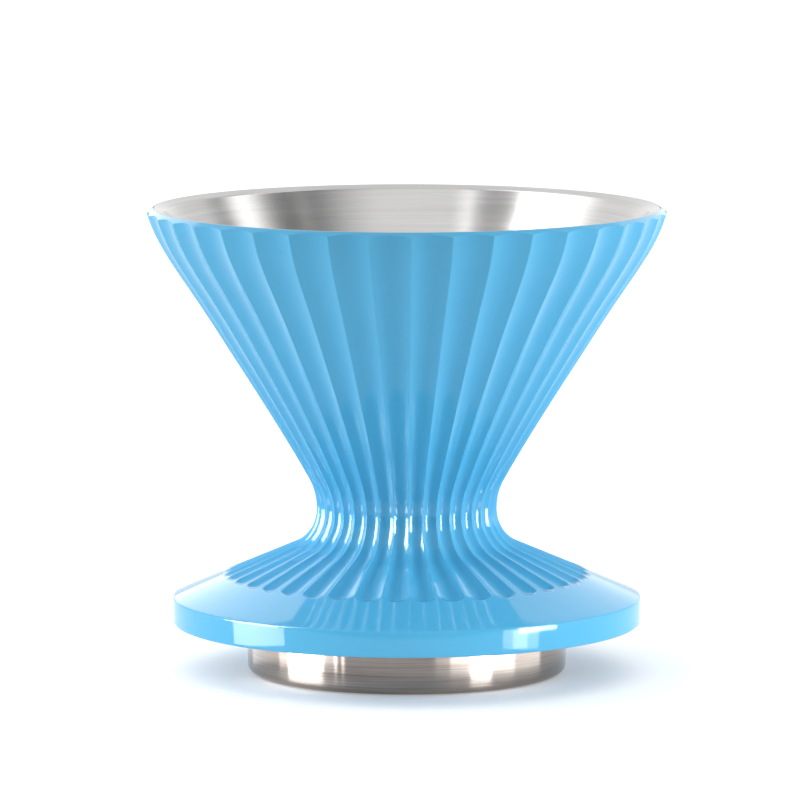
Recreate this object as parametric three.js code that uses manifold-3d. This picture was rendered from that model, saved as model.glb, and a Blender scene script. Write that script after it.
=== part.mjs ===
// Pour over dripper: a fluted hourglass body on a stainless spigot base, with a lift-out
// stainless brewing cone.  Millimetres, +Z up, origin on the axis at the bottom of the base.
// Every piece is a separate closed solid; touching pieces keep a running gap.

import * as THREE from 'three';
import { mergeVertices } from 'three/addons/utils/BufferGeometryUtils.js';
import Module from 'manifold-3d';

const wasm = await Module();
wasm.setup();

// ---------------------------------------------------------------- driving dimensions
const GAP = 0.3; // clearance kept between neighbouring pieces

const RIM_R = 58.5; // outer corner of the body's rim
const RIM_Z = 103.9;
const HEIGHT = 105.05; // top of the bevel and of the steel lip
const BEVEL_R = 56.95; // inner edge of the rim's bevel

const WAIST_R = 20.33;
const WAIST_LOWER_ARC = 9.0;
const WAIST_UPPER_ARC = 14;
const FUNNEL_LEAVES = THREE.MathUtils.degToRad(30); // lean of the funnel where it leaves the waist
const SHOULDER_Z = 78; // above this height the funnel swells into a faint shoulder under the rim
const SHOULDER_SWELL = 0.85;

const SKIRT_FALL = 0.43; // drop of the skirt per unit of radius
const FLANGE_R = 52.8;
const FLANGE_TOP = 17.0; // where the skirt's line meets the flange wall
const FLANGE_Z = 11.1; // underside of the flange
const FLANGE_EDGE = 0.9; // rounding of both edges of the flange
const SKIRT_WALL = 2.6;

const FLUTES = 40;
const FLUTE_PHASE = THREE.MathUtils.degToRad(0.87); // first ridge, from -Y towards +X
const FLUTE_DEPTH = 0.75;
const FLUTE_TIP_R = 41.4; // where a flute runs out on the skirt
const FLUTE_RUNOUT = 3.2; // length of the rounded end

const CONE_RUN = Math.tan(Math.PI / 6); // radius per unit of height of a 60 degree cone
const CONE_TOP = { r: 54.0, z: 104.1 }; // inner face of the cone under its lip
const SHEET = 0.5; // steel sheet thickness
const LIP_R = BEVEL_R - GAP;
const OUTLET_R = 9.9;
const OUTLET_NECK_Z = 24.0;

const BORE_R = 11.9; // bore of the body's neck, around the spout
const NECK_TUBE_R = 14.3;
const NECK_TUBE_Z = 16;
const SEAT_Z = 102.8; // ledge in the rim that carries the lip

const PLATE_R = 49.7;
const PLATE_HOLE_R = 31;
const PLATE_THICK = 2.3;
const LEDGE_Z = FLANGE_Z + PLATE_THICK + GAP;

const CAP = { topR: 36.3, footR: 35.8, edge: 1.5, wall: 0.8, floorZ: 2.0, stepR: 32.2, holeR: 12.7 };

const SCREWS = 4;
const SCREW_CIRCLE = 22;
const SCREW_R = 1.45;
const INSERT = { outer: 2.35, bore: 1.75, low: 3.5, high: 9.5 };
const BOSS_R = 4.3;

// ---------------------------------------------------------------- materials
const material = (color, roughness, metalness) =>
  new THREE.MeshStandardMaterial({ color, roughness, metalness });
const finishes = {
  blue: () => material(0x5ab0de, 0.22, 0.0),
  steel: () => material(0xbfc0c1, 0.28, 1.0),
  silicone: () => material(0x4a403c, 0.75, 0.0),
  brass: () => material(0xb8975a, 0.35, 1.0),
};

// ---------------------------------------------------------------- geometry helpers
const at = (r, z) => new THREE.Vector2(r, z);

// Points along an arc about (r, z); angles in radians, from +R towards +Z.
function arc(r, z, radius, from, to, steps) {
  return new THREE.EllipseCurve(r, z, radius, radius, from, to, to < from).getPoints(steps);
}

// A closed outline in (radius, height) turned about the Z axis.
function revolve(outline, segments, start = 0) {
  const closed = outline[0].x > 0 ? [...outline, outline[0].clone()] : outline;
  return new THREE.LatheGeometry(closed, segments, start).rotateX(Math.PI / 2);
}

function cylinder(radius, low, high, x, y, sides = 12) {
  const geometry = new THREE.CylinderGeometry(radius, radius, high - low, sides);
  return geometry.rotateX(Math.PI / 2).translate(x, y, (low + high) / 2);
}

// Geometry to solid and back, for cuts and joins.
function toSolid(geometry) {
  const bare = geometry.clone();
  bare.deleteAttribute('normal');
  bare.deleteAttribute('uv');
  const merged = mergeVertices(bare, 1e-4);
  return new wasm.Manifold(new wasm.Mesh({
    numProp: 3,
    vertProperties: new Float32Array(merged.attributes.position.array),
    triVerts: new Uint32Array(merged.index.array),
  }));
}

function toGeometry(solid) {
  const mesh = solid.getMesh();
  const geometry = new THREE.BufferGeometry();
  geometry.setAttribute('position', new THREE.BufferAttribute(mesh.vertProperties, 3));
  geometry.setIndex(new THREE.BufferAttribute(mesh.triVerts, 1));
  geometry.computeVertexNormals();
  return geometry;
}

const dripper = new THREE.Group();

function add(name, geometry, finish) {
  const mesh = new THREE.Mesh(geometry, finishes[finish]());
  mesh.name = name;
  dripper.add(mesh);
}

// Where each base screw stands: four on a circle, on the diagonals.
const screwPlaces = Array.from({ length: SCREWS }, (_, i) => {
  const angle = (i + 0.5) * 2 * Math.PI / SCREWS;
  return { x: SCREW_CIRCLE * Math.cos(angle), y: SCREW_CIRCLE * Math.sin(angle) };
});

// ---------------------------------------------------------------- fluted shell
// The skirt is a straight line up from the flange, and the waist's lower arc is tangent to it.
const skirtAngle = Math.atan(SKIRT_FALL);
const skirtZ = (r) => FLANGE_TOP + SKIRT_FALL * (FLANGE_R - r);
const skirtNormal = 1.5 * Math.PI - skirtAngle; // direction from the arc's centre to the tangent
const skirtTopR = WAIST_R + WAIST_LOWER_ARC * (1 + Math.cos(skirtNormal));
const WAIST_Z = skirtZ(skirtTopR) - WAIST_LOWER_ARC * Math.sin(skirtNormal);
const waistCentre = at(WAIST_R + WAIST_LOWER_ARC, WAIST_Z);
const edgeR = FLANGE_R - FLANGE_EDGE; // centres of the flange's edge roundings
const shoulderZ = skirtZ(edgeR) - FLANGE_EDGE / Math.cos(skirtAngle);

// The funnel swells gently between the waist and the rim.
const funnelStart = at(
  WAIST_R + WAIST_UPPER_ARC * (1 - Math.cos(FUNNEL_LEAVES)),
  WAIST_Z + WAIST_UPPER_ARC * Math.sin(FUNNEL_LEAVES),
);
const funnelEnd = at(RIM_R, RIM_Z);
const funnel = new THREE.CubicBezierCurve(
  funnelStart,
  at(funnelStart.x + 11.2, funnelStart.y + 20),
  at(funnelEnd.x - 10.4, funnelEnd.y - 20),
  funnelEnd,
);
function withShoulder(point) {
  const rise = Math.max(0, (point.y - SHOULDER_Z) / (RIM_Z - SHOULDER_Z));
  return at(point.x + SHOULDER_SWELL * Math.sin(Math.PI * rise ** 2), point.y);
}

const outside = [
  ...arc(edgeR, FLANGE_Z + FLANGE_EDGE, FLANGE_EDGE, -Math.PI / 2, 0, 2),
  ...arc(edgeR, shoulderZ, FLANGE_EDGE, 0, Math.PI / 2 - skirtAngle, 2),
  ...[FLUTE_TIP_R, FLUTE_TIP_R - 1.0, FLUTE_TIP_R - FLUTE_RUNOUT, 32].map((r) => at(r, skirtZ(r))),
  ...arc(waistCentre.x, waistCentre.y, WAIST_LOWER_ARC, skirtNormal, Math.PI, 4),
  ...arc(WAIST_R + WAIST_UPPER_ARC, WAIST_Z, WAIST_UPPER_ARC, Math.PI, Math.PI - FUNNEL_LEAVES, 2).slice(1),
  ...funnel.getPoints(9).slice(1, -1).map(withShoulder),
  funnelEnd,
];

const seatInner = CONE_TOP.r - (CONE_TOP.z - SEAT_Z) * CONE_RUN;
const wallGap = SHEET / Math.cos(Math.PI / 6) + 0.4; // sheet plus clearance, measured level
const boreTop = CONE_TOP.z - (CONE_TOP.r + wallGap - BORE_R) / CONE_RUN;
const pocketRound = 2;
const skirtInsideR = PLATE_R - 1.9;
const wallShift = at(SKIRT_WALL * Math.sin(skirtAngle), SKIRT_WALL * Math.cos(skirtAngle));
const skirtInsideZ = (r) => skirtZ(r + wallShift.x) - wallShift.y;

const inside = [
  at(BEVEL_R, HEIGHT),
  at(BEVEL_R, SEAT_Z),
  at(seatInner + wallGap, SEAT_Z),
  at(BORE_R, boreTop),
  at(BORE_R, NECK_TUBE_Z),
  at(NECK_TUBE_R, NECK_TUBE_Z),
  ...arc(NECK_TUBE_R + pocketRound, 30.6, pocketRound, Math.PI, Math.PI / 3, 3),
  ...arc(waistCentre.x, waistCentre.y, WAIST_LOWER_ARC + SKIRT_WALL, 1.14 * Math.PI, skirtNormal, 2),
  at(skirtInsideR, skirtInsideZ(skirtInsideR)),
  at(skirtInsideR, LEDGE_Z),
  at(PLATE_R + GAP, LEDGE_Z),
  at(PLATE_R + GAP, FLANGE_Z),
];

// Depth of the flutes along the outside: none on the flange, rounded ends on the skirt.
function fluteDepth(point) {
  if (point.y > WAIST_Z) return FLUTE_DEPTH;
  if (point.x > FLUTE_TIP_R) return 0;
  const runout = Math.min(1, (FLUTE_TIP_R - point.x) / FLUTE_RUNOUT);
  return FLUTE_DEPTH * Math.sqrt(1 - (1 - runout) ** 2);
}

// Turned body with every second column of points sunk along the surface normal; the flutes run
// through the rim's corner, so there the points slide up along the bevel.
function flutedBody() {
  const outline = [...outside, ...inside];
  const columns = 2 * FLUTES;
  const geometry = revolve(outline, columns, FLUTE_PHASE);
  const position = geometry.attributes.position;
  const rows = outline.length + 1;
  outside.forEach((point, row) => {
    const depth = fluteDepth(point);
    if (depth === 0) return;
    const before = point === funnelEnd ? point : outline[row - 1];
    const after = outline[row + 1];
    const along = at(after.x - before.x, after.y - before.y).normalize();
    for (let column = 1; column < columns; column += 2) {
      const angle = FLUTE_PHASE + column * 2 * Math.PI / columns;
      const sunk = point === funnelEnd
        ? at(point.x + depth * along.x, point.y + depth * along.y)
        : at(point.x - depth * along.y, point.y + depth * along.x);
      position.setXYZ(column * rows + row, sunk.x * Math.sin(angle), -sunk.x * Math.cos(angle), sunk.y);
    }
  });
  return geometry;
}

// Four bosses hang from the skirt into the hollow base; each is trimmed inside the skirt wall.
function shellWithBosses() {
  const hull = toSolid(revolve([
    at(0, 0),
    at(FLANGE_R - 3, 0),
    at(FLANGE_R - 3, skirtInsideZ(FLANGE_R - 3) + 1),
    at(skirtTopR, skirtInsideZ(skirtTopR) + 1),
    at(WAIST_R - 2, WAIST_Z - 4),
    at(0, WAIST_Z - 4),
  ], 48));
  const throat = toSolid(revolve([at(0, 0), at(NECK_TUBE_R - 1, 0), at(NECK_TUBE_R - 1, 60), at(0, 60)], 48));
  const bossLow = CAP.floorZ + CAP.wall + GAP;
  let shell = toSolid(flutedBody());
  for (const { x, y } of screwPlaces) {
    const boss = toSolid(cylinder(BOSS_R, bossLow, 40, x, y, 20)).intersect(hull).subtract(throat);
    shell = shell.add(boss);
  }
  for (const { x, y } of screwPlaces) {
    shell = shell.subtract(toSolid(cylinder(INSERT.outer + GAP, 0, INSERT.high + 1, x, y, 16)));
  }
  return toGeometry(shell);
}

add('fluted_shell', shellWithBosses(), 'blue');

// ---------------------------------------------------------------- brewing cone and spout
const coneInner = (z) => CONE_TOP.r - (CONE_TOP.z - z) * CONE_RUN;
const sheetLevel = SHEET / Math.cos(Math.PI / 6);
const neckInnerZ = CONE_TOP.z - (CONE_TOP.r - OUTLET_R) / CONE_RUN;
const neckOuterZ = CONE_TOP.z - (CONE_TOP.r + sheetLevel - OUTLET_R - SHEET) / CONE_RUN;

// Spun 60 degree cone with a short outlet neck and a flared lip that lies in the rim.
add('brew_cone', revolve([
  at(OUTLET_R, OUTLET_NECK_Z),
  at(OUTLET_R + SHEET, OUTLET_NECK_Z),
  at(OUTLET_R + SHEET, neckOuterZ),
  at(coneInner(103.2) + sheetLevel, 103.2),
  at(54.75, 103.85),
  at(LIP_R - 0.2, 104.5),
  at(LIP_R, 104.82),
  at(LIP_R - 0.3, HEIGHT),
  at(54.35, 104.3),
  at(coneInner(103.7), 103.7),
  at(OUTLET_R, neckInnerZ),
], 64), 'steel');

// Outlet tube, swaged over the neck of the cone; it reaches down through the base.
const spoutOuter = OUTLET_R + 0.6;
add('drip_spout', revolve([
  at(OUTLET_R, 0.8),
  at(spoutOuter, 0.8),
  at(spoutOuter, 22.4),
  at(spoutOuter + 0.8, 23.4),
  at(spoutOuter + 0.8, 27.0),
  at(OUTLET_R + SHEET + 0.35, 27.0),
  at(OUTLET_R + SHEET + 0.35, 23.6),
  at(OUTLET_R, 22.4),
], 40), 'steel');

// Flat ring between the lip and its seat.
const flatRing = (inner, outer, low, high, segments) =>
  revolve([at(inner, low), at(outer, low), at(outer, high), at(inner, high)], segments);
add('rim_gasket', flatRing(55.2, 56.5, SEAT_Z + GAP, 103.72, 48), 'silicone');

// ---------------------------------------------------------------- base
// Moulded ring that closes the underside, grooved for the cap's gasket.
const grooveTop = FLANGE_Z + 1.2;
add('base_plate', revolve([
  at(PLATE_HOLE_R, FLANGE_Z),
  at(35.4, FLANGE_Z),
  at(35.4, grooveTop),
  at(36.9, grooveTop),
  at(36.9, FLANGE_Z),
  at(PLATE_R, FLANGE_Z),
  at(PLATE_R, FLANGE_Z + PLATE_THICK),
  at(PLATE_HOLE_R, FLANGE_Z + PLATE_THICK),
], 48), 'blue');

const capTop = FLANGE_Z - 0.25;
add('base_gasket', flatRing(35.7, 36.6, capTop + GAP, grooveTop - GAP, 48), 'silicone');

// Stamped spigot cup: a foot ring at the bottom, a raised floor and a central hole.
function spigotCup() {
  const { topR, footR, edge, wall, floorZ, stepR, holeR } = CAP;
  let cup = toSolid(revolve([
    ...arc(footR - edge, edge, edge, 0, -Math.PI / 2, 3),
    at(stepR, 0),
    at(stepR, floorZ),
    at(holeR, floorZ),
    at(holeR, floorZ + wall),
    at(stepR + wall, floorZ + wall),
    at(stepR + wall, wall),
    at(footR - edge, wall),
    at(topR - wall, capTop),
    at(topR, capTop),
  ].reverse(), 56));
  for (const { x, y } of screwPlaces) {
    cup = cup.subtract(toSolid(cylinder(SCREW_R + GAP, 0, 4, x, y)));
  }
  return toGeometry(cup);
}
add('base_cap', spigotCup(), 'steel');

// Grommet clipped in the hole of the cup's floor, around the spout.
const grommetBore = spoutOuter + 0.35;
add('spout_grommet', revolve([
  at(grommetBore, 1.1),
  at(CAP.holeR + 1.5, 1.1),
  at(CAP.holeR + 1.5, CAP.floorZ - GAP),
  at(CAP.holeR - GAP, CAP.floorZ - GAP),
  at(CAP.holeR - GAP, CAP.floorZ + CAP.wall + GAP),
  at(CAP.holeR + 1.5, CAP.floorZ + CAP.wall + GAP),
  at(CAP.holeR + 1.5, 3.7),
  at(grommetBore, 3.7),
], 32), 'silicone');

// ---------------------------------------------------------------- fasteners
// Button-head screw with a hexagon socket, head down, under the cup's floor.
function buttonScrew(x, y) {
  const headLow = 0.25;
  const headHigh = CAP.floorZ - GAP;
  const turned = toSolid(revolve([
    at(0, headLow),
    at(1.5, headLow),
    at(2.3, headLow + 0.35),
    at(2.75, headLow + 1.0),
    at(2.75, headHigh),
    at(SCREW_R, headHigh),
    at(SCREW_R, 8.6),
    at(SCREW_R - 0.35, 9.0),
    at(0, 9.0),
  ], 16));
  const socket = toSolid(cylinder(1.15, headLow - 1, headLow + 1, 0, 0, 6));
  return toGeometry(turned.subtract(socket)).translate(x, y, 0);
}

screwPlaces.forEach(({ x, y }, i) => {
  add(`base_screw_${i + 1}`, buttonScrew(x, y), 'steel');
  const insert = flatRing(INSERT.bore, INSERT.outer, INSERT.low, INSERT.high, 16).translate(x, y, 0);
  add(`thread_insert_${i + 1}`, insert, 'brass');
});

export default dripper;
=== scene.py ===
import math

import bpy
import numpy as np
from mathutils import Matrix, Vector


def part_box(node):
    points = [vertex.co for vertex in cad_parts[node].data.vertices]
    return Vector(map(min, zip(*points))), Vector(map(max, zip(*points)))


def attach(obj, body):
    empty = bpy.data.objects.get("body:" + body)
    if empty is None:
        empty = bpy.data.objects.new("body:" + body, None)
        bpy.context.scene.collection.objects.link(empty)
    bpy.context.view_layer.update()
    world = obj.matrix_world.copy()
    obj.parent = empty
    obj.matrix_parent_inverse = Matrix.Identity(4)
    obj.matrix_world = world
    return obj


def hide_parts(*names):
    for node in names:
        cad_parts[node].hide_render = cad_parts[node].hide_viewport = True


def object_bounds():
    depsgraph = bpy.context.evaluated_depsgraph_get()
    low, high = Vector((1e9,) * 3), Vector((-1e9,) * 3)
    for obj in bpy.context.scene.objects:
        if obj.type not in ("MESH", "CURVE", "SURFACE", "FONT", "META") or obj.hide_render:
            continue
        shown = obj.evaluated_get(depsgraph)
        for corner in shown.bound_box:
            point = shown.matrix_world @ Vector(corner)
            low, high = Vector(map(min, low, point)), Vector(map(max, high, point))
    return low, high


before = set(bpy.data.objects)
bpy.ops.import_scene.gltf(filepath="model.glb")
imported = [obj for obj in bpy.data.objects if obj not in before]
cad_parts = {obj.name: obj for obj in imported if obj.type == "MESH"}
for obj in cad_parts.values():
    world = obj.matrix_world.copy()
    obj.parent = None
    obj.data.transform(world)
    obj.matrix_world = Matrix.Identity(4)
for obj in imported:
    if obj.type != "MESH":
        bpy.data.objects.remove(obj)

# Looks of the pour over dripper.  Outlines are (radius, height) in millimetres about the Z axis;
# meshes are made in metres, in the frame of the CAD model.

MM = 0.001
cad_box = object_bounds()

BODY = "dripper_body"
CONE = "cone"

# ---------------------------------------------------------------- sizes, in millimetres
plate_low, plate_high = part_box("base_plate")
cone_low, cone_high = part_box("brew_cone")
cup_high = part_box("base_cap")[1]

RIM_R = 58.5
RIM_Z = 103.9
TOP_Z = cone_high.z / MM
BEVEL_R = 56.95
BEVEL_DROP = 0.12  # of the bevel's inner edge below the cone's lip

WAIST_R = 20.33
WAIST_LOWER_ARC = 9.0
WAIST_UPPER_ARC = 14.0
FUNNEL_LEAVES = math.radians(30)
FUNNEL_FOOT_PULL = (11.2, 20)  # from the funnel's foot to the handle of its curve
FUNNEL_HEAD_PULL = (10.4, 20)  # and from the other handle to the rim
SHOULDER_Z = 78  # above this height the funnel swells into a faint shoulder under the rim
SHOULDER_SWELL = 0.85

SKIRT_FALL = 0.43
SKIRT_WALL = 2.6
FLANGE_R = 52.8
FLANGE_TOP = 17.0
FLANGE_Z = plate_low.z / MM
FLANGE_EDGE = 0.6
PLAIN_R = 50.0  # the skirt's rows of points start here, inside the flange's edge
PLAIN_ROWS = 1.5  # spacing of the rows
TIP_ROWS = 0.17  # and where the flutes end

FLUTES = 40
FLUTE_PHASE = math.radians(0.87)
FLUTE_TIP_R = 41.6
FLUTE_END = 2.6  # length of a flute's rounded end along the skirt
FLUTE_END_SOFT = 0.03  # softens the edge of that end
FLUTE_END_REACH = 1.15  # ends it, as a share of its length
RIDGE_FLAT = 0.955  # beyond this share of half a pitch, the ridge is rounded over
WAIST_DEPTH = 0.72  # how far the scallops are sunk
FUNNEL_DEPTH = 0.84
FUNNEL_DEPTH_RISE = 12  # height above the waist at which it is reached
RIM_DEPTH = 0.90
SKIRT_DEPTH = 0.88
SKIRT_DEPTH_R = 30
TIP_DEPTH = 1.0

HALF_ANGLE = math.radians(30)
CONE_RUN = math.tan(HALF_ANGLE)
CONE_TOP_R = 54.0
CONE_TOP_Z = 104.1
SHEET = 0.5
SHEET_LEVEL = SHEET / math.cos(HALF_ANGLE)  # the sheet's thickness along a radius
CONE_GAP = 0.4  # between the cone and the body, along a radius
SEAT_Z = 102.8
BORE_R = 11.9
NECK_TUBE_R = 14.3
NECK_TUBE_Z = 16.0
POCKET_Z = 30.6
POCKET_FILLET = 2
POCKET_END = 1.14 * math.pi  # where the pocket meets the arc behind the waist
PLATE_GAP = 0.3
LEDGE = 2.2

SCREWS = 4
BOSS_R = 4.3
BOSS_DROP = 0.5  # of a boss's foot below its insert

LIP_FOOT_Z = 103.2
LIP_EDGE_Z = 104.42
OUTLET_R = 9.9
SPOUT_R = OUTLET_R + 0.6
SPOUT_LOW_Z = 0.8
SPOUT_TOP_Z = 27.0
SWAGE_Z = 22.4
SWAGE_RISE = 1.0
SWAGE_STEP = 0.8
SWAGE_BORE_R = OUTLET_R + SHEET + 0.35
SWAGE_BORE_Z = 23.6

PLATE_HOLE_R = 31.0
PLATE_R = 49.7
GROOVE_IN_R = 35.4
GROOVE_OUT_R = 36.9
GROOVE_Z = FLANGE_Z + 1.2

CUP_TOP_R = 36.3
CUP_FOOT_R = 35.8
CUP_WALL = 0.8
CUP_FLOOR_Z = 2.0
CUP_FLOOR_R = 33.0
CUP_STEP_R = 32.2
CUP_HOLE_R = 12.7
GROMMET_IN_R = OUTLET_R + 0.95
GROMMET_OUT_R = CUP_HOLE_R + 1.5
GROMMET_WAIST_R = CUP_HOLE_R - 0.3
GROMMET_Z = (1.1, 1.7, 3.1, 3.7)


# ---------------------------------------------------------------- outlines
def arc(r, z, radius, start, end, steps):
    """Points on an arc about (r, z), angles in radians from +R towards +Z."""
    angles = np.linspace(start, end, steps + 1)
    return [(r + radius * math.cos(a), z + radius * math.sin(a)) for a in angles]


SIDE_SHARE = 0.48  # of a side, that the rounding of one corner may take
NO_CORNER = 0.01  # radians from straight or folded back that count as no corner


def rounded(corners, steps=6):
    """Closed outline through (r, z, rounding) corners, each turned into a small arc."""
    outline = []
    for i, (r, z, rounding) in enumerate(corners):
        here = np.array((r, z))
        back = np.array(corners[i - 1][:2]) - here
        ahead = np.array(corners[(i + 1) % len(corners)][:2]) - here
        back_length = np.linalg.norm(back)
        ahead_length = np.linalg.norm(ahead)
        back, ahead = back / back_length, ahead / ahead_length
        half = math.acos(np.clip(back @ ahead, -1, 1)) / 2
        run = rounding / math.tan(half) if rounding and half > NO_CORNER else 0
        run = min(run, SIDE_SHARE * back_length, SIDE_SHARE * ahead_length)
        if run < 1e-6 or abs(half - math.pi / 2) < NO_CORNER:
            outline.append((r, z))
            continue
        middle = (back + ahead) / np.linalg.norm(back + ahead)
        centre = here + middle * run / math.cos(half)
        radius = run * math.tan(half)
        first, last = here + back * run - centre, here + ahead * run - centre
        for t in np.linspace(0, 1, steps + 1):
            point = first * (1 - t) + last * t
            outline.append(tuple(centre + point / np.linalg.norm(point) * radius))
    return outline


# ---------------------------------------------------------------- meshes
def mesh_object(name, vertices, faces, sharp):
    mesh = bpy.data.meshes.new(name)
    mesh.from_pydata((np.asarray(vertices) * MM).tolist(), [], faces)
    mesh.validate()
    mesh.shade_smooth()
    mesh.set_sharp_from_angle(angle=math.radians(sharp))
    thing = bpy.data.objects.new(name, mesh)
    bpy.context.scene.collection.objects.link(thing)
    return thing


def grid_faces(columns, rows):
    """Quads of a grid of vertices stored column by column; columns and rows both wrap round."""
    column = np.arange(columns)[:, None] * rows
    after = np.roll(column, -1, axis=0)
    row = np.arange(rows)[None, :]
    above = (row + 1) % rows
    quads = np.stack([column + row, after + row, after + above, column + above], axis=-1)
    return quads.reshape(-1, 4).tolist()


def revolve(name, outline, columns, x=0.0, y=0.0):
    """A closed outline turned about a vertical axis; counter-clockwise outlines face out."""
    angles = np.arange(columns) * 2 * math.pi / columns
    r, z = np.array(outline).T
    vertices = np.stack([
        x + np.outer(np.sin(angles), r),
        y - np.outer(np.cos(angles), r),
        np.tile(z, (columns, 1)),
    ], axis=-1).reshape(-1, 3)
    return mesh_object(name, vertices, grid_faces(columns, len(outline)), sharp=40)


# ---------------------------------------------------------------- shader helpers
class Nodes:
    """Short names for making and joining the nodes of one tree."""

    def __init__(self, tree):
        self.tree = tree

    def node(self, kind, **settings):
        made = self.tree.nodes.new(kind)
        for key, value in settings.items():
            setattr(made, key, value)
        return made

    def link(self, output, target):
        self.tree.links.new(output, target)

    def feed(self, value, socket):
        """Links an output to a socket, or sets a plain value on it."""
        if isinstance(value, bpy.types.NodeSocket):
            self.link(value, socket)
        else:
            socket.default_value = value

    def math(self, operation, *values):
        made = self.node("ShaderNodeMath", operation=operation)
        for socket, value in zip(made.inputs, values):
            self.feed(value, socket)
        return made.outputs[0]

    def weighted(self, *parts):
        """The sum of some outputs, each times its weight."""
        shares = [self.math("MULTIPLY", output, weight) for output, weight in parts]
        total = shares[0]
        for share in shares[1:]:
            total = self.math("ADD", total, share)
        return total

    def split(self, vector):
        made = self.node("ShaderNodeSeparateXYZ")
        self.link(vector, made.inputs[0])
        return made.outputs

    def ramp(self, factor, stops):
        made = self.node("ShaderNodeValToRGB")
        elements = made.color_ramp.elements
        while len(elements) < len(stops):
            elements.new(0.5)
        for element, (position, colour) in zip(elements, stops):
            element.position = position
            element.color = (*colour, 1.0)
        self.link(factor, made.inputs["Fac"])
        return made.outputs["Color"]


class Shader(Nodes):
    """A material with one Principled shader."""

    def __init__(self, name, **sockets):
        self.material = bpy.data.materials.new(name)
        self.material.use_nodes = True
        super().__init__(self.material.node_tree)
        self.main = self.tree.nodes["Principled BSDF"]
        for socket, value in sockets.items():
            self.main.inputs[socket.replace("_", " ")].default_value = value
        self.coordinates = self.node("ShaderNodeTexCoord").outputs["Object"]

    def noise(self, vector, scale, detail=3.0, roughness=0.5):
        made = self.node("ShaderNodeTexNoise")
        made.inputs["Scale"].default_value = scale
        made.inputs["Detail"].default_value = detail
        made.inputs["Roughness"].default_value = roughness
        self.link(vector, made.inputs["Vector"])
        return made.outputs["Fac"]

    def colour(self, factor, *stops):
        self.link(self.ramp(factor, stops), self.main.inputs["Base Color"])

    def roughness(self, factor, low, high):
        made = self.node("ShaderNodeMapRange")
        made.inputs["To Min"].default_value = low
        made.inputs["To Max"].default_value = high
        self.link(factor, made.inputs["Value"])
        self.link(made.outputs["Result"], self.main.inputs["Roughness"])

    def bump(self, height, strength, distance):
        made = self.node("ShaderNodeBump")
        made.inputs["Strength"].default_value = strength
        made.inputs["Distance"].default_value = distance
        self.link(height, made.inputs["Height"])
        self.link(made.outputs["Normal"], self.main.inputs["Normal"])

    def turning(self, across, around):
        """Coordinates for marks that run round the axis: fine across them, slow around it."""
        x, y, z = self.split(self.coordinates)
        squares = self.math("ADD", self.math("MULTIPLY", x, x), self.math("MULTIPLY", y, y))
        radius = self.math("SQRT", squares)
        angle = self.math("ARCTAN2", y, x)
        joined = self.node("ShaderNodeCombineXYZ")
        for socket, output, scale in zip(
            joined.inputs,
            (self.math("COSINE", angle), self.math("SINE", angle), self.math("ADD", z, radius)),
            (around, around, across),
        ):
            self.link(self.math("MULTIPLY", output, scale), socket)
        return joined.outputs[0]


# ---------------------------------------------------------------- materials
def gloss_blue():
    """Gloss moulding: faint clouds in the colour, a painted highlight along the ridges and painted shade in
    the grooves, fine ripple.
    """
    shader = Shader("body_blue", IOR=1.35)
    ridge = shader.node("ShaderNodeAttribute", attribute_name="ridge").outputs["Fac"]
    cloud = shader.noise(shader.coordinates, 70, 4, 0.6)
    # The ridge height lightens the ridges and darkens the grooves: painted highlight and painted shade.
    tone = shader.weighted((ridge, 0.45), (cloud, 0.55))
    shader.colour(tone, (0.2, (0.062, 0.326, 0.545)), (0.8, (0.073, 0.356, 0.580)))
    smear = shader.noise(shader.coordinates, 45, 4, 0.6)
    shader.roughness(smear, 0.04, 0.09)
    shader.bump(shader.noise(shader.coordinates, 1100, 2), 0.04, 0.00002)
    return shader.material


def spun_steel(name, dark, light, rough_low, rough_high):
    """Sheet steel spun on a lathe: fine rings round the axis, highlights stretched across them."""
    shader = Shader(name, Metallic=1.0, Anisotropic=0.9, Anisotropic_Rotation=0.25)
    rings = shader.noise(shader.turning(5200, 1.3), 1.0, 3, 0.65)
    broad = shader.noise(shader.turning(420, 0.9), 1.0)
    stain = shader.noise(shader.coordinates, 30)
    shader.colour(shader.weighted((rings, 0.45), (broad, 0.35), (stain, 0.2)), (0.3, dark), (0.7, light))
    shader.roughness(shader.weighted((broad, 0.6), (stain, 0.4)), rough_low, rough_high)
    shader.bump(rings, 0.05, 0.000006)
    tangent = shader.node("ShaderNodeTangent", direction_type="RADIAL", axis="Z")
    shader.link(tangent.outputs[0], shader.main.inputs["Tangent"])
    return shader.material


def matt_silicone():
    shader = Shader("silicone", Roughness=0.6, Sheen_Weight=0.2)
    cloud = shader.noise(shader.coordinates, 120, 4)
    shader.colour(cloud, (0.3, (0.050, 0.036, 0.030)), (0.7, (0.085, 0.062, 0.052)))
    shader.roughness(cloud, 0.5, 0.75)
    shader.bump(shader.noise(shader.coordinates, 2500, 2), 0.15, 0.00003)
    return shader.material


def turned_metal(name, marks, dark, light, rough_low, rough_high, strength):
    """A small turned piece; marks are the scale and detail of the tool marks."""
    shader = Shader(name, Metallic=1.0)
    marks = shader.noise(shader.coordinates, *marks)
    shader.colour(marks, (0.3, dark), (0.7, light))
    shader.roughness(marks, rough_low, rough_high)
    shader.bump(marks, strength, 0.00003)
    return shader.material


blue = gloss_blue()
steel = spun_steel("spun_steel", (0.50, 0.495, 0.49), (0.66, 0.655, 0.65), 0.18, 0.26)
# The cup's steel is coloured much darker and browner than the cone's: painted shade standing in for dark
# reflections.
shade_painted_steel = spun_steel("base_steel", (0.14, 0.112, 0.096), (0.38, 0.334, 0.302), 0.12, 0.26)
silicone = matt_silicone()
brass = turned_metal("insert_brass", (1800, 3), (0.55, 0.36, 0.13), (0.72, 0.50, 0.22), 0.25, 0.45, 0.1)
screw = turned_metal("screw_steel", (1500, 4), (0.42, 0.42, 0.43), (0.60, 0.60, 0.61), 0.22, 0.42, 0.12)


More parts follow.
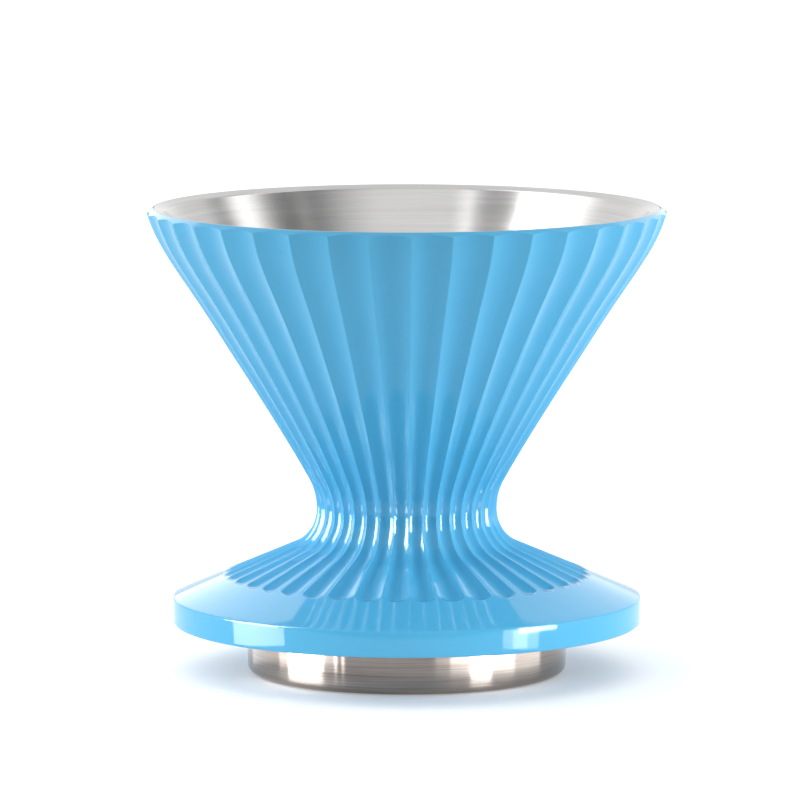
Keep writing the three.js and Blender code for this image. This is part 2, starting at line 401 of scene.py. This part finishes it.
def dress(thing, material, body, node):
    """Gives a piece its material and its body, and hides the CAD node it stands for."""
    thing.data.materials.clear()
    thing.data.materials.append(material)
    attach(thing, body)
    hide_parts(node)


# ---------------------------------------------------------------- the fluted body
skirt_angle = math.atan(SKIRT_FALL)
skirt_normal = 1.5 * math.pi - skirt_angle
skirt_top_r = WAIST_R + WAIST_LOWER_ARC * (1 + math.cos(skirt_normal))


def skirt_z(r):
    return FLANGE_TOP + SKIRT_FALL * (FLANGE_R - r)


WAIST_Z = skirt_z(skirt_top_r) - WAIST_LOWER_ARC * math.sin(skirt_normal)
WAIST_CENTRE_R = WAIST_R + WAIST_LOWER_ARC


def cone_inner(z):
    """Radius of the brewing cone's inner face at a height."""
    return CONE_TOP_R - (CONE_TOP_Z - z) * CONE_RUN


def funnel_line(steps):
    """The ridge line of the funnel: a gentle S between the waist's upper arc and the rim."""
    start = np.array((
        WAIST_R + WAIST_UPPER_ARC * (1 - math.cos(FUNNEL_LEAVES)),
        WAIST_Z + WAIST_UPPER_ARC * math.sin(FUNNEL_LEAVES),
    ))
    end = np.array((RIM_R, RIM_Z))
    lower, upper = start + FUNNEL_FOOT_PULL, end - FUNNEL_HEAD_PULL
    t = np.linspace(0, 1, steps + 1)[:, None]
    line = start * (1 - t) ** 3 + lower * 3 * t * (1 - t) ** 2 + upper * 3 * t * t * (1 - t) + end * t ** 3
    rise = ((line[:, 1] - SHOULDER_Z) / (RIM_Z - SHOULDER_Z)).clip(0, 1)
    line[:, 0] += SHOULDER_SWELL * np.sin(math.pi * rise ** 2)
    return [tuple(point) for point in line]


def flange_line():
    edge_r = FLANGE_R - FLANGE_EDGE
    shoulder_z = skirt_z(edge_r) - FLANGE_EDGE / math.cos(skirt_angle)
    return (
        arc(edge_r, FLANGE_Z + FLANGE_EDGE, FLANGE_EDGE, -math.pi / 2, 0, 7)
        + arc(edge_r, shoulder_z, FLANGE_EDGE, 0, math.pi / 2 - skirt_angle, 7)
    )


def skirt_points(radii):
    return [(r, skirt_z(r)) for r in radii]


def outside_line():
    """The whole outside, from the flange's underside to the rim's corner, as a ridge line."""
    end_r = FLUTE_TIP_R - FLUTE_END
    plain = skirt_points(np.arange(PLAIN_R, FLUTE_TIP_R + 0.4, -PLAIN_ROWS))
    tips = skirt_points(np.arange(FLUTE_TIP_R + 0.3, end_r - 0.6, -TIP_ROWS))
    skirt = skirt_points(np.linspace(end_r - 0.9, skirt_top_r + 1, 9))
    lower = arc(WAIST_CENTRE_R, WAIST_Z, WAIST_LOWER_ARC, skirt_normal, math.pi, 16)
    upper = arc(WAIST_R + WAIST_UPPER_ARC, WAIST_Z, WAIST_UPPER_ARC, math.pi, math.pi - FUNNEL_LEAVES, 8)
    return flange_line() + plain + tips + skirt + lower + upper[1:] + funnel_line(52)[1:]


def inside_line():
    """From the bevel's inner edge down the inside and back to the flange's underside."""
    level = SHEET_LEVEL + CONE_GAP
    bore_z = CONE_TOP_Z - (CONE_TOP_R + level - BORE_R) / CONE_RUN
    inner_r = plate_high.x / MM + PLATE_GAP
    ledge_r = inner_r - LEDGE
    ledge_z = plate_high.z / MM + PLATE_GAP
    drop = SKIRT_WALL / math.cos(skirt_angle)
    inner_arc = WAIST_LOWER_ARC + SKIRT_WALL
    return [
        (BEVEL_R, TOP_Z - BEVEL_DROP),
        (BEVEL_R, SEAT_Z),
        (cone_inner(SEAT_Z) + level, SEAT_Z),
        (BORE_R, bore_z),
        (BORE_R, NECK_TUBE_Z),
        (NECK_TUBE_R, NECK_TUBE_Z),
        *arc(NECK_TUBE_R + POCKET_FILLET, POCKET_Z, POCKET_FILLET, math.pi, math.pi / 3, 6),
        *arc(WAIST_CENTRE_R, WAIST_Z, inner_arc, POCKET_END, skirt_normal, 6),
        (ledge_r, skirt_z(ledge_r) - drop),
        (ledge_r, ledge_z),
        (inner_r, ledge_z),
        (inner_r, FLANGE_Z),
    ]


def flute_section():
    """Places across one pitch, ridge to ridge, and how far each is sunk: a concave scallop
    whose ridges are rounded over very slightly."""
    near = np.array([1.0, 0.978, RIDGE_FLAT, 0.925, 0.88, 0.81])
    middle = np.linspace(0.72, 0, 7)
    half = np.concatenate([near, middle])
    u = np.concatenate([-half, half[-2:0:-1]])
    crest = (1 - RIDGE_FLAT) + RIDGE_FLAT * (1 - abs(u)) ** 2 / (1 - RIDGE_FLAT)
    return u, np.where(abs(u) > RIDGE_FLAT, crest, 1 - u ** 2)


def flute_depth(r, z):
    """Depth of the scallops along the body, deepest on the skirt."""
    heights = [WAIST_Z, WAIST_Z + FUNNEL_DEPTH_RISE, RIM_Z]
    radii = [WAIST_R, SKIRT_DEPTH_R, FLUTE_TIP_R]
    on_funnel = np.interp(z, heights, [WAIST_DEPTH, FUNNEL_DEPTH, RIM_DEPTH])
    on_skirt = np.interp(r, radii, [WAIST_DEPTH, SKIRT_DEPTH, TIP_DEPTH])
    return np.where(z > WAIST_Z, on_funnel, on_skirt)


def flute_cut(sunk, r, z):
    """How far each place of the section is cut at each point of the outside, from 0 to 1.
    Past the centre of its rounded end a flute narrows like a ball-nosed cut."""
    beyond = np.clip((r - (FLUTE_TIP_R - FLUTE_END)) / FLUTE_END, 0, None)
    beyond = np.where(z < WAIST_Z, beyond, 0)
    cut = sunk[:, None] - beyond[None, :] ** 2
    softened = (cut + np.sqrt(cut ** 2 + FLUTE_END_SOFT ** 2)) / 2
    cut = np.where(beyond[None, :] > 0, softened, cut)
    return np.where(beyond[None, :] > FLUTE_END_REACH, 0, cut)


def fluted_body():
    outside = np.array(outside_line())
    inside = np.array(inside_line())
    r, z = outside.T
    along = np.gradient(outside, axis=0)
    along /= np.linalg.norm(along, axis=1)[:, None]
    inward = np.stack([-along[:, 1], along[:, 0]], axis=1)
    # At the rim the flutes are sunk along the bevel.
    bevel = inside[0] - outside[-1]
    inward[-1] = bevel / np.linalg.norm(bevel)

    u, sunk = flute_section()
    cut = flute_cut(sunk, r, z)
    place = outside[None] + inward[None] * (cut * flute_depth(r, z)[None, :])[..., None]
    section = np.concatenate([place, np.tile(inside, (len(u), 1, 1))], axis=1)
    section = np.tile(section, (FLUTES, 1, 1))
    pitch = 2 * math.pi / FLUTES
    angles = (FLUTE_PHASE + (np.arange(FLUTES)[:, None] + 0.5 + u[None, :] / 2) * pitch).reshape(-1)
    vertices = np.stack([
        section[..., 0] * np.sin(angles)[:, None],
        -section[..., 0] * np.cos(angles)[:, None],
        section[..., 1],
    ], axis=-1).reshape(-1, 3)
    faces = grid_faces(len(angles), len(outside) + len(inside))
    body = mesh_object("fluted_body", vertices, faces, sharp=35)

    # How high each place stands between groove (0) and ridge (1), for the material, which paints the ridges
    # lighter and the grooves darker as painted highlight and painted shade.
    height = np.concatenate([1 - cut, np.ones((len(u), len(inside)))], axis=1)
    height = np.tile(height, (FLUTES, 1)).reshape(-1).clip(0, 1)
    ridge = body.data.attributes.new("ridge", "FLOAT", "POINT")
    ridge.data.foreach_set("value", height.astype(np.float32))
    return body


def with_bosses(body):
    """Adds the four blind screw bosses inside the base, joined to the body."""
    parts = []
    for number in range(1, SCREWS + 1):
        low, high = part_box(f"thread_insert_{number}")
        x = (low.x + high.x) / 2 / MM
        y = (low.y + high.y) / 2 / MM
        inner = (high.x - low.x) / 2 / MM
        foot = low.z / MM - BOSS_DROP
        roof = skirt_z(math.hypot(x, y) + BOSS_R) - SKIRT_WALL / 2
        parts.append(revolve(f"boss_{number}", rounded([
            (inner, foot, 0.2), (BOSS_R, foot, 0.3), (BOSS_R, roof, 0), (inner, roof, 0),
        ], 4), 32, x, y))
    with bpy.context.temp_override(active_object=body, selected_editable_objects=[body, *parts]):
        bpy.ops.object.join()
    return body


dress(with_bosses(fluted_body()), blue, BODY, "fluted_shell")


# ---------------------------------------------------------------- brewing cone and spout
def brew_cone():
    lip_r = BEVEL_R - 0.05
    neck_low = cone_low.z / MM
    neck_in = CONE_TOP_Z - (CONE_TOP_R - OUTLET_R) / CONE_RUN
    neck_out = CONE_TOP_Z - (CONE_TOP_R + SHEET_LEVEL - OUTLET_R - SHEET) / CONE_RUN
    return revolve("spun_cone", rounded([
        (OUTLET_R, neck_low, 0.1),
        (OUTLET_R + SHEET, neck_low, 0.1),
        (OUTLET_R + SHEET, neck_out, 1.5),
        (cone_inner(LIP_FOOT_Z) + SHEET_LEVEL, LIP_FOOT_Z, 0.8),
        (54.75, 103.85, 0.3),
        (lip_r, LIP_EDGE_Z, 0.24),
        (lip_r, TOP_Z, 0.24),
        (54.45, 104.25, 0.9),
        (OUTLET_R, neck_in, 2.0),
    ]), 320)


def drip_spout():
    return revolve("drip_tube", rounded([
        (OUTLET_R, SPOUT_LOW_Z, 0.2),
        (SPOUT_R, SPOUT_LOW_Z, 0.2),
        (SPOUT_R, SWAGE_Z, 0.6),
        (SPOUT_R + SWAGE_STEP, SWAGE_Z + SWAGE_RISE, 0.6),
        (SPOUT_R + SWAGE_STEP, SPOUT_TOP_Z, 0.15),
        (SWAGE_BORE_R, SPOUT_TOP_Z, 0.15),
        (SWAGE_BORE_R, SWAGE_BORE_Z, 0.5),
        (OUTLET_R, SWAGE_Z, 0.5),
    ]), 128)


dress(brew_cone(), steel, CONE, "brew_cone")
dress(drip_spout(), steel, CONE, "drip_spout")


def seal(name, node):
    """A flat ring of silicone in the place of a CAD ring."""
    low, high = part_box(node)
    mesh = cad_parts[node].data
    inner = min(math.hypot(v.co.x, v.co.y) for v in mesh.vertices)
    return revolve(name, rounded([
        (r / MM, z / MM, 0.2)
        for r, z in ((inner, low.z), (high.x, low.z), (high.x, high.z), (inner, high.z))
    ]), 192)


dress(seal("lip_seal", "rim_gasket"), silicone, CONE, "rim_gasket")
dress(seal("cap_seal", "base_gasket"), silicone, BODY, "base_gasket")


# ---------------------------------------------------------------- base
def closing_plate():
    """Ring that closes the underside, with a groove for the cup's wall."""
    plate_z = plate_high.z / MM
    return revolve("closing_plate", rounded([
        (PLATE_HOLE_R, FLANGE_Z, 0.4),
        (GROOVE_IN_R, FLANGE_Z, 0.15),
        (GROOVE_IN_R, GROOVE_Z, 0.1),
        (GROOVE_OUT_R, GROOVE_Z, 0.1),
        (GROOVE_OUT_R, FLANGE_Z, 0.15),
        (PLATE_R, FLANGE_Z, 0.3),
        (PLATE_R, plate_z, 0.2),
        (PLATE_HOLE_R, plate_z, 0.4),
    ]), 192)


def spigot_cup():
    """Stamped cup: foot ring, raised floor with a central hole, slightly drawn-in wall."""
    cup_z = cup_high.z / MM
    floor_top = CUP_FLOOR_Z + CUP_WALL
    return revolve("spigot_cup", rounded([
        (CUP_TOP_R, cup_z, 0.25),
        (CUP_TOP_R - CUP_WALL, cup_z, 0.25),
        (34.9, CUP_WALL, 0.8),
        (CUP_FLOOR_R, CUP_WALL, 0.3),
        (CUP_FLOOR_R, floor_top, 0.5),
        (CUP_HOLE_R, floor_top, 0.2),
        (CUP_HOLE_R, CUP_FLOOR_Z, 0.2),
        (CUP_STEP_R, CUP_FLOOR_Z, 0.5),
        (CUP_STEP_R, 0.0, 0.4),
        (CUP_FOOT_R, 0.0, 1.5),
    ]), 256)


def grommet():
    foot, groove_low, groove_high, head = GROMMET_Z
    return revolve("grommet", rounded([
        (GROMMET_IN_R, foot, 0.3),
        (GROMMET_OUT_R, foot, 0.3),
        (GROMMET_OUT_R, groove_low, 0.2),
        (GROMMET_WAIST_R, groove_low, 0.1),
        (GROMMET_WAIST_R, groove_high, 0.1),
        (GROMMET_OUT_R, groove_high, 0.2),
        (GROMMET_OUT_R, head, 0.3),
        (GROMMET_IN_R, head, 0.3),
    ]), 96)


dress(closing_plate(), blue, BODY, "base_plate")
# The cup gets the steel coloured dark as painted shade.
dress(spigot_cup(), shade_painted_steel, BODY, "base_cap")
dress(grommet(), silicone, BODY, "spout_grommet")

# ---------------------------------------------------------------- fasteners
for number in range(1, SCREWS + 1):
    for node, material in ((f"base_screw_{number}", screw), (f"thread_insert_{number}", brass)):
        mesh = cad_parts[node].data
        mesh.materials.clear()
        mesh.materials.append(material)

# ---------------------------------------------------------------- floor, light and camera
VIEW_DISTANCE = 1.531
VIEW_ELEVATION = 7.1
AIM = (-0.00153, 0.0, 0.0614)
FRAME_WIDTH = 0.18014  # width of the picture at the aim point
SENSOR = 36.0

FLOOR_SIZE = 6.0
FLOOR_FRONT = -0.176
FLOOR_DROP = 0.0002

# Brightness of the studio's walls by direction, in degrees from the front towards the right.
WALLS = [
    (-180, 0.9), (-120, 1.0), (-110, 2.3), (-80, 2.3), (-73, 0.3), (-60, 0.45), (-44, 0.6), (-42.2, 4.0),
    (-40.7, 4.0), (-39, 0.85), (-25, 1.1), (22, 1.05), (42, 0.75), (58, 0.35), (68, 0.08), (77, 0.03),
    (86, 0.12), (94, 0.6), (99, 2.4), (108, 2.4), (113, 0.3), (119, 0.3), (127, 0.9), (180, 0.9),
]
SKIRTING = [
    (-180, 1.0), (-135, 1.2), (-110, 2.4), (-68, 2.4), (-50, 0.12), (48, 0.12), (66, 2.4), (110, 2.4),
    (135, 1.2), (180, 1.0),
]
WALL_FOOT = (8, 18)  # degrees of elevation over which skirting turns into wall
WALL_HEAD = (62, 80)  # and wall into ceiling
CEILING = 0.86
BELOW = 0.06  # beyond the table's front edge
BRIGHTEST = 4.0
STUDIO = 1.05

# The pieces that a light is for.
SHELL = ("fluted_body", "closing_plate")
SPUN = ("spun_cone",)
CUP = ("spigot_cup",)

CUP_R = 36.1  # of the cup's wall, where its cards are seen
BAND_REACH = 0.048
CUP_REACH = 0.018
CARD_LIFT = 0.0003
BOX_DISTANCE = 0.160
BOX_FOOT = 0.002


def studio_floor():
    """A wide pale table, whose front edge lies just before the picture."""
    corners = [
        (-FLOOR_SIZE, FLOOR_FRONT, 0), (FLOOR_SIZE, FLOOR_FRONT, 0),
        (FLOOR_SIZE, FLOOR_SIZE, 0), (-FLOOR_SIZE, FLOOR_SIZE, 0),
    ]
    mesh = bpy.data.meshes.new("floor")
    mesh.from_pydata(corners, [], [(0, 1, 2, 3)])
    floor = bpy.data.objects.new("floor", mesh)
    bpy.context.scene.collection.objects.link(floor)
    shader = Shader("pale_floor", Roughness=0.8)
    shader.colour(shader.noise(shader.coordinates, 3), (0.3, (0.91, 0.91, 0.91)), (0.7, (0.94, 0.94, 0.94)))
    mesh.materials.append(shader.material)
    floor.location.z = cad_box[0][2] - FLOOR_DROP


def direction(azimuth, elevation=0):
    """Unit vector; azimuth in degrees from the front towards the right, elevation above the floor."""
    a, e = math.radians(azimuth), math.radians(elevation)
    return Vector((math.sin(a) * math.cos(e), -math.cos(a) * math.cos(e), math.sin(e)))


def panel(name, place, target, width, height, radiance, lit, gloss=True, colour=True, spread=180):
    """A rectangular light of a given brightness on some of the pieces, in their gloss or colour."""
    light = bpy.data.lights.new(name, "AREA")
    light.shape = "RECTANGLE"
    light.size, light.size_y = width, height
    light.spread = math.radians(spread)
    half = light.spread / 2
    grid = 1 - half / math.tan(half)  # a grid of this spread passes so much of the light
    light.energy = math.pi * width * height * radiance * grid
    lamp = bpy.data.objects.new(name, light)
    bpy.context.scene.collection.objects.link(lamp)
    lamp.location = place
    lamp.rotation_euler = (Vector(target) - Vector(place)).to_track_quat("-Z", "Y").to_euler()
    lamp.visible_camera = False
    lamp.visible_glossy = gloss
    lamp.visible_diffuse = colour
    group = bpy.data.collections.new(name + "_lit")
    for piece in lit:
        group.objects.link(bpy.data.objects[piece])
    lamp.light_linking.receiver_collection = group
    return light


def card(name, wall_r, first, last, reach, height, radiance, lit, spread=180):
    """A low card, seen only in the gloss, that fills a ring of radius wall_r between two azimuths."""
    facing = direction(first + last)
    away = (direction((first + last) / 2) * wall_r * MM).dot(facing) + reach
    ends = []
    for azimuth in (first, last):
        wall, ray = direction(azimuth) * wall_r * MM, direction(2 * azimuth)
        ends.append(wall + ray * (away - wall.dot(facing)) / ray.dot(facing))
    middle = (ends[0] + ends[1]) / 2 + Vector((0, 0, height / 2 + CARD_LIFT))
    panel(name, middle, middle - facing, (ends[1] - ends[0]).length, height, radiance, lit,
          colour=False, spread=spread)


def room_lights(centre):
    """Large soft lights a metre away, each for the body's colour, its gloss or the cone's gloss."""
    for name, azimuth, elevation, wide, tall, radiance, lit, gloss in (
        ("left_side", -82, 8, 0.33, 0.33, 11.6, SHELL, False),
        ("right_side", 78, 8, 0.33, 0.33, 22, SHELL, False),
        ("front_fill", 0, 2, 0.40, 0.30, 2.2, SHELL, False),
        ("back_left", -166, 26, 0.50, 0.77, 1.5, SHELL, True),
        ("back_right", 166, 26, 0.50, 0.77, 0.6, SHELL, True),
        ("left_strip", -72, 20, 0.15, 0.80, 20, SPUN, True),
        ("right_strip", 57, 12, 0.10, 0.50, 20, SPUN, True),
    ):
        place = centre + direction(azimuth, elevation)
        panel(name, place, centre, wide, tall, radiance, lit, gloss=gloss, colour=not gloss)


def waist_boxes():
    """Two upright boxes close by draw the row of dashes round the waist."""
    for name, azimuth, wide, top, spread, radiance in (
        ("left_box", -72, 0.100, 0.168, 100, 42),
        ("right_box", 57, 0.054, 0.080, 76, 50),
    ):
        place = direction(azimuth) * BOX_DISTANCE + Vector((0, 0, (top + BOX_FOOT) / 2))
        waist = Vector((0, 0, WAIST_Z * MM))
        panel(name, place, waist, wide, top - BOX_FOOT, radiance, SHELL, colour=False, spread=spread)


def band_cards():
    """Cards that draw the upright bands on the flange and on the steel ring, by azimuth."""
    for name, first, last, height, radiance in (
        ("left_band", -47.0, -31.0, 0.013, 17),
        ("right_band", 23.8, 33.7, 0.013, 11),
        ("right_band_core", 26.5, 30.5, 0.012, 11),
    ):
        card(name, FLANGE_R, first, last, BAND_REACH, height, radiance, SHELL, spread=90)
    for name, first, last, height, radiance in (
        ("cup_outer_left", -75.0, -50.0, 0.040, 1.0),
        ("cup_left_wide", -52.5, -25.2, 0.040, 2.4),
        ("cup_left", -47.2, -31.4, 0.040, 28),
        ("cup_left_line", -26.6, -25.7, 0.040, 6),
        ("cup_left_second", -23.8, -22.8, 0.040, 5),
        ("cup_right", 10.0, 56.0, 0.040, 2.2),
        ("cup_right_middle", 15.5, 42.0, 0.039, 3),
        ("cup_right_core", 23.4, 31.5, 0.038, 24),
    ):
        card(name, CUP_R, first, last, CUP_REACH, height, radiance, CUP)


def studio_lights():
    centre = Vector((0, 0, 0.04))
    room_lights(centre)
    waist_boxes()
    band_cards()
    # A card lying on the table lights the underside of the funnel, and hardly the flange.
    low = Vector((0, -0.13, 0.003))
    panel("table_card", low, low + Vector((0, 0, 1)), 0.30, 0.08, 0.55, SHELL, gloss=False)
    wash = panel("floor_wash", (0, 0, 2), centre, 3, 3, 1.0, ("floor",), gloss=False)
    wash.use_shadow = False


def studio_camera():
    data = bpy.data.cameras.new("camera")
    data.sensor_width = SENSOR
    data.lens = SENSOR * VIEW_DISTANCE / FRAME_WIDTH
    camera = bpy.data.objects.new("camera", data)
    bpy.context.scene.collection.objects.link(camera)
    camera.location = Vector(AIM) + direction(0, VIEW_ELEVATION) * VIEW_DISTANCE
    camera.rotation_euler = (math.radians(90 - VIEW_ELEVATION), 0, 0)
    bpy.context.scene.camera = camera


def grey(brightness):
    return (brightness / BRIGHTEST,) * 3


def studio_world():
    """Pale walls and ceiling with a few brighter and darker panels; seen directly, plain pale."""
    world = bpy.data.worlds.new("studio")
    world.use_nodes = True
    nodes = Nodes(world.node_tree)

    def by_azimuth(stops):
        return nodes.ramp(azimuth_share, [(azimuth / 360 + 0.5, grey(value)) for azimuth, value in stops])

    def rising(low, high):
        made = nodes.node("ShaderNodeMapRange", interpolation_type="SMOOTHSTEP")
        made.inputs["From Min"].default_value = math.sin(math.radians(low))
        made.inputs["From Max"].default_value = math.sin(math.radians(high))
        nodes.link(z, made.inputs["Value"])
        return made.outputs["Result"]

    def blend(factor, first, second):
        made = nodes.node("ShaderNodeMix", data_type="RGBA")
        nodes.link(factor, made.inputs["Factor"])
        colours = [socket for socket in made.inputs if socket.type == "RGBA"]
        for socket, value in zip(colours, (first, second)):
            nodes.feed((*value, 1.0) if isinstance(value, tuple) else value, socket)
        return [socket for socket in made.outputs if socket.type == "RGBA"][0]

    x, y, z = nodes.split(nodes.node("ShaderNodeTexCoord").outputs["Generated"])
    turn = nodes.math("ARCTAN2", x, nodes.math("MULTIPLY", y, -1.0))
    azimuth_share = nodes.math("ADD", nodes.math("DIVIDE", turn, 2 * math.pi), 0.5)
    walls = blend(rising(*WALL_FOOT), by_azimuth(SKIRTING), by_azimuth(WALLS))
    room = blend(rising(*WALL_HEAD), walls, grey(CEILING))
    room = blend(nodes.math("LESS_THAN", z, 0.0), room, grey(BELOW))
    seen = blend(nodes.node("ShaderNodeLightPath").outputs["Is Camera Ray"], room, grey(1 / STUDIO))
    background = nodes.tree.nodes["Background"]
    nodes.link(seen, background.inputs["Color"])
    background.inputs["Strength"].default_value = BRIGHTEST * STUDIO
    bpy.context.scene.world = world


studio_floor()
studio_world()
studio_camera()
studio_lights()
bpy.context.scene.view_settings.view_transform = "Standard"
